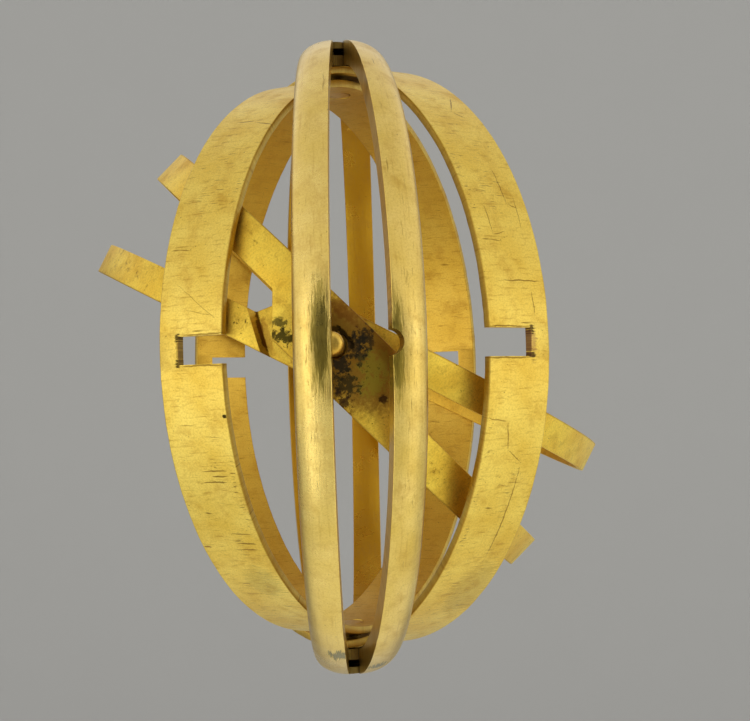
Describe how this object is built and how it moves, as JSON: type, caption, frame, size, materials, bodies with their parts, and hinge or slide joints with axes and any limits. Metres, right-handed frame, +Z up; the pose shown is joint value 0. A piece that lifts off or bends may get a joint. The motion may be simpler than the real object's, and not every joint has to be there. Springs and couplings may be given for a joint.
{
  "type": "armillary ring",
  "caption": "Finger ring of hinged hoops that fans open on two crossed axes, from a plain closed band into a small armillary sphere.",
  "frame": {"origin": "centre of the sphere, where the polar axis crosses the equatorial axis", "axes": "+Z up along the polar rivets, Y along the equatorial pins with the front at -Y, X along the finger of the closed ring"},
  "size_m": [0.0187, 0.0238, 0.0242],
  "materials": {
    "half_round_gold": "worn satin yellow gold",
    "strip_gold": "filed and tarnished yellow gold strip",
    "pin_gold": "peened yellow gold wire"
  },
  "bodies": {
    "frame": {"frame_hoop": "half_round_gold", "top_rivet": "pin_gold", "bottom_rivet": "pin_gold", "front_pin": "pin_gold", "back_pin": "pin_gold"},
    "swing": {"swing_hoop": "half_round_gold"},
    "large": {"large_band": "strip_gold"},
    "small": {"small_band": "strip_gold"},
    "lower": {"lower_hoop": "strip_gold"},
    "upper": {"upper_hoop": "strip_gold"}
  },
  "joints": [
    {"name": "swing_turn", "type": "hinge", "parent": "frame", "child": "swing", "pos_m": [0, 0, 0], "axis": [0, 0, 1], "range_deg": [-8.7, 81.3]},
    {"name": "large_turn", "type": "hinge", "parent": "frame", "child": "large", "pos_m": [0, 0, 0], "axis": [0, 0, 1], "range_deg": [-32.7, 137.3]},
    {"name": "small_turn", "type": "hinge", "parent": "frame", "child": "small", "pos_m": [0, 0, 0], "axis": [0, 0, 1], "range_deg": [-143.7, 26.3]},
    {"name": "lower_turn", "type": "hinge", "parent": "frame", "child": "lower", "pos_m": [0, 0, 0], "axis": [0, -1, 0], "continuous": true},
    {"name": "upper_turn", "type": "hinge", "parent": "lower", "child": "upper", "pos_m": [0, 0, 0], "axis": [0, -1, 0], "range_deg": [-82.3, 17.7]}
  ]
}
